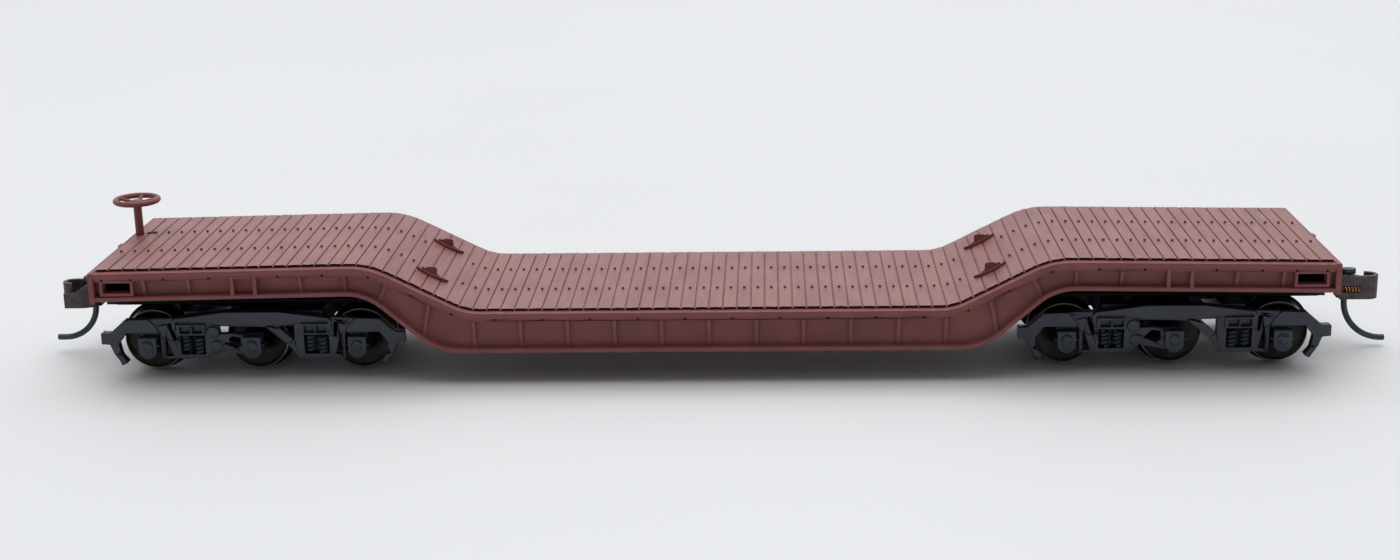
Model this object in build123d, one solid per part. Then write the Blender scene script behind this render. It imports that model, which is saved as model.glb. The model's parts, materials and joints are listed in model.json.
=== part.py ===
from build123d import *
import os
from math import cos, hypot, radians, sin

# Model drop-centre flat wagon on two six-wheel trucks, at the model's own size, in millimetres.
# X runs along the wagon with the brake wheel at the -X end, Y across it, Z up.
# Heights below are above the rail head; the floor of the frame is at the flange tips.

# Wheels and axles
TREAD_DIAMETER = 9.6
FLANGE_DEPTH = 0.65
FLANGE_WIDTH = 0.75
WHEEL_WIDTH = 2.8
BACK_TO_BACK = 14.5
RIM_THICKNESS = 0.75
DISH_DEPTH = 0.45
HUB_RADIUS = 1.5
AXLE_RADIUS = 0.8
AXLE_STUB_RADIUS = 0.55
AXLE_END_PLAY = 0.2
BEARING_CLEARANCE = 0.05

# Girder: platforms at the ends, slopes, and the well between them
LENGTH = 190.0
GIRDER_WIDTH = 35.2
PLATFORM_LENGTH = 43.1
SLOPE_RUN = 14.7
END_TOP = 17.6
SHOULDER_TOP = 18.3
SHOULDER_RADIUS = 13.0
WELL_TOP = 10.9
WELL_RADIUS = 9.0
END_BOTTOM = 13.1
SHOULDER_BOTTOM = 13.75
SHOULDER_BOTTOM_SHIFT = 0.6
SHOULDER_BOTTOM_RADIUS = 8.0
WELL_BOTTOM = 4.5
WELL_BOTTOM_SHIFT = 4.6
WELL_BOTTOM_RADIUS = 10.0
LIP_WIDTH = 2.3
LIP_EDGE = 1.8
LIP_STEP = 0.1
LIP_HEIGHT = 0.95
LIP_LEDGE = 0.3
TOP_FLANGE = 1.4
BOTTOM_FLANGE = 0.6
FLANGE_REACH = 1.4
WEB_THICKNESS = 0.8
RIB_THICKNESS = 0.55
RIB_FOOT = 0.15
RIB_INSET = 0.1
WELL_RIB_MARGIN = 1.1
WELL_RIBS_PER_SIDE = 5
# Ribs on a slope: how far up it their heads stand
SLOPE_RIB_SHARES = (0.36, 0.78)
# Ribs over a truck: distance from the truck centre towards the wagon's end, whether the foot is full width
TRUCK_RIBS = ((-15.7, False), (-8.9, False), (-2.0, True), (1.5, True), (8.35, False), (15.3, False))
END_SILL_THICKNESS = 0.8
END_SILL_DROP = 0.35
END_STEP_WIDTH = 1.6
END_STEP_HEIGHT = 1.2
END_STEP_REACH = 0.35
SLOT_LENGTH = 4.3
SLOT_HEIGHT = 1.65
SLOT_FROM_END = 2.1
SLOT_RISE = 1.25
SLOT_FRAME = 0.45

# Deck boards and tie-downs
BOARD_PITCH = 2.12
BOARD_THICKNESS = 0.9
BOARD_PROUD = 0.3
BOARD_END_GAP = 0.55
BOARD_REST = 0.7
GROOVE_WIDTH = 0.22
GROOVE_DEPTH = 0.25
LUG_LENGTH = 5.6
LUG_THICKNESS = 0.45
LUG_BOW = 0.8
LUG_HEIGHT = 0.5
LUG_FROM_BOARD_END = 6.15
LUG_BELOW_MIDDLE = 1.0
POCKET_LENGTH = 2.6
POCKET_WIDTH = 1.15
POCKET_DEPTH = 0.6
POCKET_BEHIND_LUG = 0.15

# Underframe
PAN_BOTTOM = 11.1
PAN_THICKNESS = 1.0
PAN_WIDTH = 24.0
PAN_LENGTH = 42.5
PAN_END_WALL = 0.6
CENTRE_SILL_WIDTH = 8.0
CENTRE_SILL_DEPTH = 3.4
CROSS_BEARER = 0.9
BODY_BOLSTER = 4.0
CENTRE_PLATE_RADIUS = 3.0
CENTRE_PLATE_HEIGHT = 0.35
SCREW_RADIUS = 1.0
SCREW_HEAD_RADIUS = 1.9
SCREW_HEAD_HEIGHT = 0.8
SCREW_BITE = 1.6

# Hand brake
BRAKE_FROM_END = 1.5
BRAKE_Y = 5.25
STAFF_RADIUS = 0.66
STAFF_SEAT = 0.5
BRAKE_WHEEL_HEIGHT = 23.7
BRAKE_WHEEL_RADIUS = 3.8
BRAKE_RIM = 0.9
BRAKE_HUB_RADIUS = 1.0
BRAKE_HUB_DROP = 0.5
BRAKE_SPOKES = 5
SPOKE_RADIUS = 0.28
CHAIN_HOLE_SHIFT = (1.65, 0.85)
CHAIN_HOLE_LENGTH = 1.75
CHAIN_HOLE_WIDTH = 1.6

# Trucks
TRUCK_FROM_END = 23.7
AXLE_SPACING = 16.45
FRAME_INNER_Y = 12.0
FRAME_PLATE = 1.2
FRAME_STEP = 0.25
FRAME_BEAM = 0.5
JOURNAL_REACH = 2.2
JOURNAL_WIDTH = 2.8
JOURNAL_TOP = 6.2
JOURNAL_NECK = 0.7
JOURNAL_BELLY = 2.05
JOURNAL_BOSS = 0.85
JOURNAL_BOSS_RISE = 0.2
JOURNAL_LUG = 0.35
OUTER_JOURNAL_TOP = 6.9
MIDDLE_JOURNAL_TOP = 6.4
BEARING_DEPTH = 1.0
STUB_LENGTH = 0.9
TRANSOM_X = 9.0
TRANSOM_WIDTH = 3.8
TRANSOM_BOTTOM = 6.6
TRANSOM_TOP = 9.9
SPINE_WIDTH = 7.0
SPINE_BOTTOM = 8.1
SPINE_TOP = 10.7
SPRING_RADIUS = 0.8
SPRING_BOTTOM = 3.2
SPRING_TOP = 6.4
SPRING_TRAY_DEPTH = 0.9
SPRING_TRAY_WALL = 0.4

# Couplers
COUPLER_HEIGHT = 9.45
PIVOT_FROM_END = 7.0
BOX_WIDTH = 6.6
BOX_LENGTH = 10.6
BOX_OVERHANG = 0.6
BOX_WALL = 0.6
BOX_BACK = 3.3
LID_THICKNESS = 0.35
POST_RADIUS = 0.9
POST_CLEARANCE = 0.06
EYE_RADIUS = 1.7
SHANK_WIDTH = 2.0
SHANK_THICKNESS = 1.2
SHANK_CLEARANCE = 0.05
SHANK_BITE = 0.4
HEAD_HEIGHT = 3.8
HEAD_FROM_END = 4.0
HEAD_CORNER = 0.2
PIN_FROM_END = 5.4
PIN_SIDE = 0.7
PIN_RADIUS = 0.38
PIN_CLEARANCE = 0.05
PIN_CAP_RADIUS = 0.75
PIN_CAP_LENGTH = 0.8
PIN_CAP_HEIGHT = 0.8
TRIP_RADIUS = 0.48
TRIP_REACH = 6.7
# Bend of the trip leg at each end: its radius and the height of its foot
TRIP_BENDS = {"a": (5.4, 1.9), "b": (6.2, 0.75)}
LUG_PLATE = 0.75
KNUCKLE_HUB = 0.85
KNUCKLE_GAP = 0.08
HUB_CLEAR = 0.15
THROAT = 3.0
KNUCKLE_SPRING_RADIUS = 0.45
KNUCKLE_SPRING_LENGTH = 2.6
KNUCKLE_SPRING_PLACE = (-0.7, -1.65)
SPRING_HEIGHT = 9.2
SPRING_GAP = 0.05

# Places worked out from the sizes above
HALF_LENGTH = LENGTH / 2
HALF_WIDTH = GIRDER_WIDTH / 2
TREAD_RADIUS = TREAD_DIAMETER / 2
DECK_HALF = HALF_WIDTH - LIP_WIDTH - BOARD_END_GAP
SEAT_INNER = DECK_HALF - BOARD_REST
WEB_OUTER = HALF_WIDTH - FLANGE_REACH
WEB_INNER = WEB_OUTER - WEB_THICKNESS
INNER_END = HALF_LENGTH - END_SILL_THICKNESS
SHOULDER_X = HALF_LENGTH - PLATFORM_LENGTH
WELL_X = SHOULDER_X - SLOPE_RUN
SLOPE = (SHOULDER_TOP - WELL_TOP) / SLOPE_RUN
WELL_RIB_PITCH = (WELL_X - WELL_RIB_MARGIN) / WELL_RIBS_PER_SIDE
TRUCK_X = HALF_LENGTH - TRUCK_FROM_END
BRAKE_X = BRAKE_FROM_END - HALF_LENGTH
FRAME_OUTER_Y = FRAME_INNER_Y + FRAME_PLATE
PIVOT_X = HALF_LENGTH - PIVOT_FROM_END
HEAD_X = HALF_LENGTH + HEAD_FROM_END
PIN_X = HALF_LENGTH + PIN_FROM_END
PIN_Y = -PIN_SIDE
BOX_FRONT = HALF_LENGTH + BOX_OVERHANG
SHANK_LOW = COUPLER_HEIGHT - SHANK_THICKNESS / 2
SHANK_HIGH = COUPLER_HEIGHT + SHANK_THICKNESS / 2
HEAD_LOW = COUPLER_HEIGHT - HEAD_HEIGHT / 2
HEAD_HIGH = COUPLER_HEIGHT + HEAD_HEIGHT / 2
LID_TOP = SHANK_LOW - SHANK_CLEARANCE

# Truck side frame: x from the truck centre and height above the rail head, halves mirrored where they match
FRAME_TOP = [(-23.9, 6.8), (-22.4, 6.8), (-20.0, 8.9), (-16.0, 9.0), (-12.2, 9.2), (-4.35, 10.2)]
FRAME_END = [
    (23.9, 5.0), (22.6, 4.9), (22.05, 3.45), (20.8, 1.55), (19.9, 1.95), (20.85, 3.2), (21.2, 5.05),
    (19.9, 6.75), (14.6, 6.75), (14.4, 2.5),
]
# Strut, opening under the beam, and the arm that carries the middle journal
FRAME_MIDDLE = [
    (7.2, 2.45), (5.3, 4.8), (2.1, 7.55), (-5.2, 7.75), (-5.5, 6.45), (-3.4, 6.6), (-1.3, 6.35),
    (1.3, 6.35), (1.3, 3.4), (-1.3, 3.0), (-5.1, 3.75), (-6.6, 2.8), (-8.1, 2.5),
]
# The bowed top beam, hooked round the bolster ends
BEAM_HALF = [
    (4.35, 10.15), (12.0, 9.15), (12.6, 8.7), (12.5, 7.2), (12.0, 7.2), (12.0, 8.4), (11.6, 8.7), (8.0, 8.6),
    (4.0, 8.0),
]
# Through holes, one row of corners each
FRAME_HOLES = [
    [(-13.45, 8.15), (-12.78, 8.32), (-11.94, 5.6), (-12.54, 5.35)],
    [(12.82, 8.32), (13.5, 8.4), (13.1, 5.9), (12.64, 6.05)],
    [(-13.9, 5.7), (-13.65, 5.64), (-12.69, 2.95), (-13.9, 2.95)],
    [(13.9, 6.3), (13.65, 6.3), (12.9, 3.1), (13.9, 3.0)],
    [(-4.62, 4.93), (-3.28, 6.1), (-2.0, 5.85), (-1.95, 4.59), (-2.66, 4.11)],
    [(3.9, 7.75), (6.5, 7.8), (6.5, 5.35)],
]
# End plates over the outer journals: distance of the centre from the truck's, its height, the radius
END_PLATE = (19.9, 4.4, 5.83)
# Round bosses: x, height, radius
BOSSES = [(-6.2, 6.85, 0.95), (-5.75, 4.6, 0.9)]
# Spring pockets, with the bolster ends above them: left and right edge
SPRING_POCKETS = [(-11.5, -7.6), (8.0, 11.9)]
BOLSTER_END_MARGIN = 0.35
WINDOW_BOTTOM = 6.75
WINDOW_TOP = 7.85
WINDOW_BAR = 0.3
FRAME_CORNER = 0.25

# Plan of the coupler's fixed head with its guard arm, and of the knuckle's root: x and y from the pin
HEAD_PLAN = [
    (-1.4, -0.7), (0.0, -1.0), (0.0, 0.9), (1.0, 1.9), (4.3, 2.2),
    (4.2, 2.8), (1.2, 2.8), (-0.6, 2.2), (-1.4, 1.2),
]
# What is taken off the top of the guard arm: x from the pin and depth below the head's top
GUARD_SLOPE = [(0.4, 0.0), (2.6, 1.35), (6.0, 1.35), (6.0, 0.0)]
KNUCKLE_ROOT = [(0.3, -1.4), (2.4, -1.4), (0.7, 0.0), (0.3, 0.0)]
# Middle line of the knuckle's hook from the pin: the straight run's two ends, then the bend and its turn
HOOK_START = (-1.2, -1.45)
HOOK_BEND = (3.45, -1.45)
HOOK_RADIUS = 1.25
HOOK_TURN = 190
HOOK_WALL = 0.6


# Lines of the girder
def whole_line(half):
    """Corner rows (x, height, radius) of the +X half, with their mirror image put before them."""
    return [(-x, z, r) for x, z, r in reversed(half)] + half


TOP_LINE = whole_line([
    (WELL_X, WELL_TOP, WELL_RADIUS),
    (SHOULDER_X, SHOULDER_TOP, SHOULDER_RADIUS),
    (HALF_LENGTH, END_TOP, 0),
])
BOTTOM_LINE = whole_line([
    (WELL_X + WELL_BOTTOM_SHIFT, WELL_BOTTOM, WELL_BOTTOM_RADIUS),
    (SHOULDER_X + SHOULDER_BOTTOM_SHIFT, SHOULDER_BOTTOM, SHOULDER_BOTTOM_RADIUS),
    (HALF_LENGTH, END_BOTTOM, 0),
])


def raised(line, rise):
    """The line moved square to its runs by rise, its ends kept in place along X, arcs concentric."""
    ups = []
    for (x0, z0, _), (x1, z1, _) in zip(line, line[1:]):
        run = hypot(x1 - x0, z1 - z0)
        ups.append(((z0 - z1) / run, (x1 - x0) / run))
    rows = [(line[0][0], line[0][1] + rise / ups[0][1], 0)]
    for (x, z, r), a, b in zip(line[1:-1], ups, ups[1:]):
        along = 1 + a[0] * b[0] + a[1] * b[1]
        turn = a[0] * b[1] - a[1] * b[0]
        rows.append((
            x + rise * (a[0] + b[0]) / along,
            z + rise * (a[1] + b[1]) / along,
            r - rise if turn > 0 else r + rise,
        ))
    rows.append((line[-1][0], line[-1][1] + rise / ups[-1][1], 0))
    return rows


def cut_at(line, reach):
    """The line with its two ends brought in to x = -reach and +reach."""
    rows = list(line)
    for end, near in ((0, 1), (-1, -2)):
        x0, z0, _ = line[near]
        x1, z1, _ = line[end]
        x = reach if x1 > 0 else -reach
        rows[end] = (x, z0 + (z1 - z0) * (x - x0) / (x1 - x0), 0)
    return rows


def path(line):
    return FilletPolyline(*[(x, z) for x, z, _ in line], radius=[r for _, _, r in line[1:-1]])


def ends(line):
    return line[0][:2], line[-1][:2]


def line_height(line, x):
    for (x0, z0, _), (x1, z1, _) in zip(line, line[1:]):
        if x0 <= x <= x1:
            return z0 + (z1 - z0) * (x - x0) / (x1 - x0)


# Faces and plain solids
def between(lower, upper):
    """Face between two lines that end at the same x."""
    (low_a, low_b), (up_a, up_b) = ends(lower), ends(upper)
    edges = path(lower).edges() + path(upper).edges()
    return make_face(edges + [Line(low_a, up_a), Line(low_b, up_b)])


def outline(rows, radius=0.0):
    """Closed face through corner points, all corners rounded alike."""
    face = make_face(Polyline(*rows, close=True))
    return fillet(face.vertices(), radius) if radius else face


def mirrored(rows):
    return [(-x, z) for x, z in reversed(rows)]


def across(face, y0, y1):
    """A face drawn in x and height, given its thickness across the wagon from y0 to y1."""
    return extrude(Plane.XZ.offset(-y1) * face, amount=y1 - y0)


def upright(face, z0, z1):
    """A face drawn in plan, given its height from z0 to z1."""
    return extrude(Plane.XY.offset(z0) * face, amount=z1 - z0)


def block(x0, x1, y0, y1, z0, z1):
    return Pos((x0 + x1) / 2, (y0 + y1) / 2, (z0 + z1) / 2) * Box(x1 - x0, y1 - y0, z1 - z0)


def post(x, y, z0, z1, radius):
    return Pos(x, y, (z0 + z1) / 2) * Cylinder(radius, z1 - z0)


# Deck: cross boards that follow the platforms, the slopes and the well
DECK_LINE = raised(TOP_LINE, BOARD_PROUD)
SEAT_LINE = raised(TOP_LINE, BOARD_PROUD - BOARD_THICKNESS)
STAFF_FOOT = line_height(DECK_LINE, BRAKE_X) - STAFF_SEAT


def tie_down_places():
    """Planes on the boards, two on each slope, with u along the slope and v across the wagon."""
    x = (WELL_X + SHOULDER_X) / 2 - LUG_BELOW_MIDDLE
    y = DECK_HALF - LUG_FROM_BOARD_END
    z = line_height(DECK_LINE, x)
    return [
        Plane((side * x, row * y, z), x_dir=(1, 0, side * SLOPE), z_dir=(-side * SLOPE, 0, 1))
        for side in (-1, 1) for row in (-1, 1)
    ]


def deck():
    """All boards with the grooves between them, tie-down pockets, and the holes for brake staff and chain."""
    top_line, seat = cut_at(DECK_LINE, INNER_END), cut_at(SEAT_LINE, INNER_END)
    top = path(top_line)
    boards = round(top.length / BOARD_PITCH)
    half = GROOVE_WIDTH / 2 / top.length
    points = [top @ 0]
    for board in range(1, boards):
        left, right = top @ (board / boards - half), top @ (board / boards + half)
        along = (right - left).normalized()
        down = Vector(along.Y, -along.X) * GROOVE_DEPTH
        points += [left, left + down, right + down, right]
    points.append(top @ 1)
    low_a, low_b = ends(seat)
    edges = Polyline(*points).edges() + path(seat).edges()
    face = make_face(edges + [Line(low_a, points[0]), Line(low_b, points[-1])])
    boards = across(face, -DECK_HALF, DECK_HALF)
    boards -= post(BRAKE_X, BRAKE_Y, STAFF_FOOT, BRAKE_WHEEL_HEIGHT, STAFF_RADIUS)
    chain_hole = SlotOverall(CHAIN_HOLE_LENGTH, CHAIN_HOLE_WIDTH)
    chain_place = Pos(BRAKE_X + CHAIN_HOLE_SHIFT[0], BRAKE_Y + CHAIN_HOLE_SHIFT[1])
    boards -= upright(chain_place * chain_hole, END_BOTTOM, BRAKE_WHEEL_HEIGHT)
    reach, near = POCKET_LENGTH / 2, -POCKET_BEHIND_LUG
    arc = ThreePointArc((-reach, near), (0, near + POCKET_WIDTH), (reach, near))
    pocket = make_face([arc, Line((-reach, near), (reach, near))])
    for plane in tie_down_places():
        boards -= extrude(plane * pocket, amount=POCKET_DEPTH, both=True)
    return boards


def tie_down_lugs():
    """Four crescent lips on the slopes, one in front of each pocket, standing on the boards."""
    reach = LUG_LENGTH / 2
    front = ThreePointArc((-reach, 0), (0, -LUG_BOW), (reach, 0))
    back = ThreePointArc((-reach, 0), (0, LUG_THICKNESS - LUG_BOW), (reach, 0))
    crescent = make_face([front, back])
    return Compound([extrude(plane * crescent, amount=LUG_HEIGHT) for plane in tie_down_places()])


# Girders
def rib_rows():
    """Columns: x of the rib's head, x of its foot, how far the foot stands out from the web."""
    rows = []
    for k in range(-WELL_RIBS_PER_SIDE, WELL_RIBS_PER_SIDE + 1):
        rows.append((k * WELL_RIB_PITCH, k * WELL_RIB_PITCH, RIB_FOOT))
    for side in (-1, 1):
        for share in SLOPE_RIB_SHARES:
            head = WELL_X + share * SLOPE_RUN
            lean = SLOPE * (line_height(TOP_LINE, head) - WELL_BOTTOM) / 3
            rows.append((side * head, side * (head + lean), RIB_FOOT))
        for offset, full in TRUCK_RIBS:
            x = side * (TRUCK_X + offset)
            rows.append((x, x, FLANGE_REACH - RIB_INSET / 2 if full else RIB_FOOT))
    return rows


def rib(head_x, foot_x, foot):
    head = Vector(head_x, 0, line_height(TOP_LINE, head_x))
    base = Vector(foot_x, 0, line_height(BOTTOM_LINE, foot_x))
    tall = (head - base).length
    up = (head - base).normalized()
    plane = Plane(base, x_dir=(0, 1, 0), z_dir=(up.Z, 0, -up.X))
    face = outline([
        (WEB_INNER, 0),
        (WEB_OUTER + foot, 0),
        (HALF_WIDTH - RIB_INSET, tall),
        (WEB_INNER, tall),
    ])
    return extrude(plane * face, amount=RIB_THICKNESS / 2, both=True)


def side_sill():
    """Girder on the +Y side: lip, flanges, web and gusset ribs, with a framed slot near each end."""
    top, bottom, seat = (cut_at(line, INNER_END) for line in (TOP_LINE, BOTTOM_LINE, SEAT_LINE))
    lip_low = cut_at(raised(TOP_LINE, -LIP_HEIGHT), INNER_END)
    flange_low = cut_at(raised(TOP_LINE, -TOP_FLANGE), INNER_END)
    foot_top = cut_at(raised(BOTTOM_LINE, BOTTOM_FLANGE), INNER_END)
    whole = between(bottom, seat)
    room = across(whole, WEB_INNER, HALF_WIDTH)
    sill = across(whole, WEB_INNER, WEB_OUTER)
    lip_top = cut_at(raised(TOP_LINE, -LIP_STEP), INNER_END)
    sill += across(between(lip_low, top), HALF_WIDTH - LIP_WIDTH, HALF_WIDTH - LIP_EDGE)
    sill += across(between(lip_low, lip_top), HALF_WIDTH - LIP_EDGE, HALF_WIDTH)
    sill += across(between(flange_low, seat), SEAT_INNER, HALF_WIDTH - LIP_LEDGE)
    sill += across(between(bottom, foot_top), WEB_INNER, HALF_WIDTH)
    sill += [rib(*row) & room for row in rib_rows()]
    depth = HALF_WIDTH - LIP_LEDGE - WEB_OUTER
    for side in (-1, 1):
        middle = Pos(
            side * (HALF_LENGTH - SLOT_FROM_END - SLOT_LENGTH / 2),
            WEB_OUTER + depth / 2,
            END_BOTTOM + SLOT_RISE + SLOT_HEIGHT / 2,
        )
        sill += middle * Box(SLOT_LENGTH + 2 * SLOT_FRAME, depth, SLOT_HEIGHT + 2 * SLOT_FRAME)
        sill -= middle * Box(SLOT_LENGTH, HALF_WIDTH, SLOT_HEIGHT)
    return sill


def end_sill():
    """Plate across the +X end, a little deeper than the girders, with a small step at its top middle."""
    low, half = END_TOP - END_STEP_HEIGHT, END_STEP_WIDTH / 2
    plate = block(INNER_END, HALF_LENGTH, -HALF_WIDTH, HALF_WIDTH, END_BOTTOM - END_SILL_DROP, END_TOP)
    return plate + block(HALF_LENGTH, HALF_LENGTH + END_STEP_REACH, -half, half, low, END_TOP)


# Underframe
def underframe():
    """Centre sill under the boards, cross bearers, body bolsters and the two end pans."""
    seat = cut_at(SEAT_LINE, INNER_END)
    keel = cut_at(raised(TOP_LINE, -CENTRE_SILL_DEPTH), INNER_END)
    sill_half, pan_half = CENTRE_SILL_WIDTH / 2, PAN_WIDTH / 2
    frame = across(between(keel, seat), -sill_half, sill_half)
    full = across(between(keel, seat), -SEAT_INNER, SEAT_INNER)
    # Cross bearers and body bolsters: x and width
    bearers = [(k * 2 * WELL_RIB_PITCH, CROSS_BEARER) for k in range(-2, 3)]
    bearers += [(-TRUCK_X, BODY_BOLSTER), (TRUCK_X, BODY_BOLSTER)]
    for x, width in bearers:
        frame += full & block(x - width / 2, x + width / 2, -HALF_WIDTH, HALF_WIDTH, 0, SHOULDER_TOP)
    for side in (-1, 1):
        inner, outer = sorted((side * (INNER_END - PAN_LENGTH), side * INNER_END))
        frame += block(inner, outer, -pan_half, pan_half, PAN_BOTTOM, PAN_BOTTOM + PAN_THICKNESS)
        inner_wall, outer_wall = sorted((side * (INNER_END - PAN_END_WALL), side * INNER_END))
        frame += block(inner_wall, outer_wall, -pan_half, pan_half, PAN_BOTTOM, END_TOP - TOP_FLANGE)
        frame += block(inner, outer, -sill_half, sill_half, PAN_BOTTOM, END_TOP - TOP_FLANGE)
        x = side * TRUCK_X
        frame += post(x, 0, PAN_BOTTOM - CENTRE_PLATE_HEIGHT, PAN_BOTTOM, CENTRE_PLATE_RADIUS)
        frame -= post(x, 0, 0, PAN_BOTTOM + SCREW_BITE, SCREW_RADIUS)
    return frame


def truck_screw():
    head_top = SPINE_BOTTOM - BEARING_CLEARANCE
    shank = post(0, 0, head_top, PAN_BOTTOM + SCREW_BITE, SCREW_RADIUS)
    return shank + post(0, 0, head_top - SCREW_HEAD_HEIGHT, head_top, SCREW_HEAD_RADIUS)


# Hand brake
def brake_staff():
    hub_bottom = BRAKE_WHEEL_HEIGHT - BRAKE_HUB_DROP - BRAKE_RIM / 2
    return post(BRAKE_X, BRAKE_Y, STAFF_FOOT, hub_bottom, STAFF_RADIUS)


def brake_wheel():
    """Flat-lying wheel: round rim, and spokes that dip to a hub on top of the staff."""
    ring = BRAKE_WHEEL_RADIUS - BRAKE_RIM / 2
    wheel = revolve(Plane.XZ * (Pos(ring, 0) * Circle(BRAKE_RIM / 2)), axis=Axis.Z)
    wheel += Pos(0, 0, -BRAKE_HUB_DROP) * Cylinder(BRAKE_HUB_RADIUS, BRAKE_RIM)
    start = Plane((0, 0, -BRAKE_HUB_DROP), z_dir=(ring, 0, BRAKE_HUB_DROP))
    spoke = extrude(start * Circle(SPOKE_RADIUS), amount=hypot(ring, BRAKE_HUB_DROP))
    for number in range(BRAKE_SPOKES):
        wheel += Rot(0, 0, 90 + number * 360 / BRAKE_SPOKES) * spoke
    return Pos(BRAKE_X, BRAKE_Y, BRAKE_WHEEL_HEIGHT) * wheel


# Wheelsets: one axle along Y and its two wheels, drawn about the axle's middle
def axle():
    bar = Cylinder(AXLE_RADIUS, 2 * (FRAME_INNER_Y - AXLE_END_PLAY))
    stub = Cylinder(AXLE_STUB_RADIUS, 2 * (FRAME_INNER_Y + STUB_LENGTH))
    return Rot(90, 0, 0) * (bar + stub)


def wheels():
    inner = BACK_TO_BACK / 2
    outer = inner + WHEEL_WIDTH
    tip = TREAD_RADIUS + FLANGE_DEPTH
    section = outline([
        (AXLE_RADIUS, inner),
        (tip, inner),
        (tip, inner + FLANGE_WIDTH / 2),
        (TREAD_RADIUS, inner + FLANGE_WIDTH),
        (TREAD_RADIUS, outer),
        (TREAD_RADIUS - RIM_THICKNESS, outer),
        (HUB_RADIUS, outer - DISH_DEPTH),
        (AXLE_RADIUS, outer - DISH_DEPTH),
    ])
    wheel = Rot(90, 0, 0) * revolve(Plane.XZ * section, axis=Axis.Z)
    return Compound([wheel, mirror(wheel, about=Plane.XZ)])


# Trucks, drawn about the truck centre
def journal_face(x, top):
    """Journal box seen from the side: square shoulders above, a round belly below."""
    half = JOURNAL_WIDTH / 2
    shoulder = TREAD_RADIUS - JOURNAL_BELLY / 2
    belly = ThreePointArc((x + half, shoulder), (x, TREAD_RADIUS - JOURNAL_BELLY), (x - half, shoulder))
    sides = Polyline((x - half, shoulder), (x - half, top), (x + half, top), (x + half, shoulder))
    return make_face([belly] + sides.edges())


def journal_box(x, top):
    """Box on a set-back neck, with a round boss on its lid and a hinge lug at each side."""
    half, lid = JOURNAL_WIDTH / 2, FRAME_INNER_Y + JOURNAL_REACH
    box = across(journal_face(x, JOURNAL_TOP), FRAME_INNER_Y, lid)
    box += block(x - half, x + half, FRAME_INNER_Y, FRAME_INNER_Y + JOURNAL_NECK, TREAD_RADIUS, top)
    box += across(Pos(x, TREAD_RADIUS) * Circle(JOURNAL_BOSS), FRAME_INNER_Y, lid + JOURNAL_BOSS_RISE)
    lugs = Rectangle(JOURNAL_WIDTH + 2 * JOURNAL_LUG, JOURNAL_LUG)
    return box + across(Pos(x, TREAD_RADIUS) * lugs, FRAME_INNER_Y, lid - JOURNAL_LUG)


def side_frame():
    """Cast side frame on the +Y side, its holes, beam, end plates, journal boxes and bosses."""
    rim = FRAME_TOP + mirrored(FRAME_TOP) + FRAME_END + FRAME_MIDDLE + mirrored(FRAME_END)
    plate = outline(rim, FRAME_CORNER)
    step_outer = FRAME_OUTER_Y + FRAME_STEP
    beam_outer = FRAME_OUTER_Y + FRAME_BEAM
    frame = across(plate, FRAME_INNER_Y, FRAME_OUTER_Y)
    frame += across(outline(mirrored(BEAM_HALF) + BEAM_HALF), FRAME_INNER_Y, beam_outer)
    away, height, radius = END_PLATE
    for side in (-1, 1):
        frame += across(plate & (Pos(side * away, height) * Circle(radius)), FRAME_INNER_Y, step_outer)
    for x, z, radius in BOSSES:
        frame += across(Pos(x, z) * Circle(radius), FRAME_INNER_Y, step_outer)
    for left, right in SPRING_POCKETS:
        x0, x1 = left - BOLSTER_END_MARGIN, right + BOLSTER_END_MARGIN / 2
        frame += block(x0, x1, FRAME_INNER_Y, beam_outer, SPRING_TOP, WINDOW_TOP + BOLSTER_END_MARGIN)
        rear, floor = FRAME_INNER_Y - SPRING_TRAY_DEPTH, SPRING_BOTTOM - SPRING_TRAY_WALL
        x0, x1 = left - SPRING_TRAY_WALL, right + SPRING_TRAY_WALL
        frame += block(x0, x1, rear, FRAME_INNER_Y + SPRING_TRAY_WALL, floor, SPRING_TOP)
        frame -= block(left, right, rear + SPRING_TRAY_WALL, beam_outer, SPRING_BOTTOM, SPRING_TOP)
        width = (right - left) / 2
        for x in (left, left + width):
            x0, x1 = x + WINDOW_BAR / 2, x + width - WINDOW_BAR / 2
            frame -= block(x0, x1, FRAME_OUTER_Y - FRAME_BEAM, beam_outer, WINDOW_BOTTOM, WINDOW_TOP)
    for hole in FRAME_HOLES:
        frame -= across(outline(hole, FRAME_CORNER / 2), FRAME_INNER_Y, beam_outer)
    # Columns: which axle, height of the box top
    for k, top in ((-1, OUTER_JOURNAL_TOP), (0, MIDDLE_JOURNAL_TOP), (1, OUTER_JOURNAL_TOP)):
        frame += journal_box(k * AXLE_SPACING, top)
        bore = Pos(k * AXLE_SPACING, TREAD_RADIUS) * Circle(AXLE_STUB_RADIUS + BEARING_CLEARANCE)
        frame -= across(bore, FRAME_INNER_Y, FRAME_INNER_Y + BEARING_DEPTH)
    return frame


def springs():
    """Two coils in each spring pocket, drawn as their outer form."""
    coils = []
    for y in (FRAME_INNER_Y + FRAME_PLATE / 2, -FRAME_INNER_Y - FRAME_PLATE / 2):
        for left, right in SPRING_POCKETS:
            for share in (0.25, 0.75):
                coils.append(post(left + share * (right - left), y, SPRING_BOTTOM, SPRING_TOP, SPRING_RADIUS))
    return Compound(coils)


def truck_bolster():
    """Two transoms between the wheels and the spine that carries the centre plate."""
    half, spine = TRANSOM_WIDTH / 2, SPINE_WIDTH / 2
    frame = block(-TRANSOM_X - half, TRANSOM_X + half, -spine, spine, SPINE_BOTTOM, SPINE_TOP)
    for x in (-TRANSOM_X, TRANSOM_X):
        frame += block(x - half, x + half, -FRAME_INNER_Y, FRAME_INNER_Y, TRANSOM_BOTTOM, TRANSOM_TOP)
    return frame - post(0, 0, 0, SPINE_TOP * 2, SCREW_RADIUS + BEARING_CLEARANCE)


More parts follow.
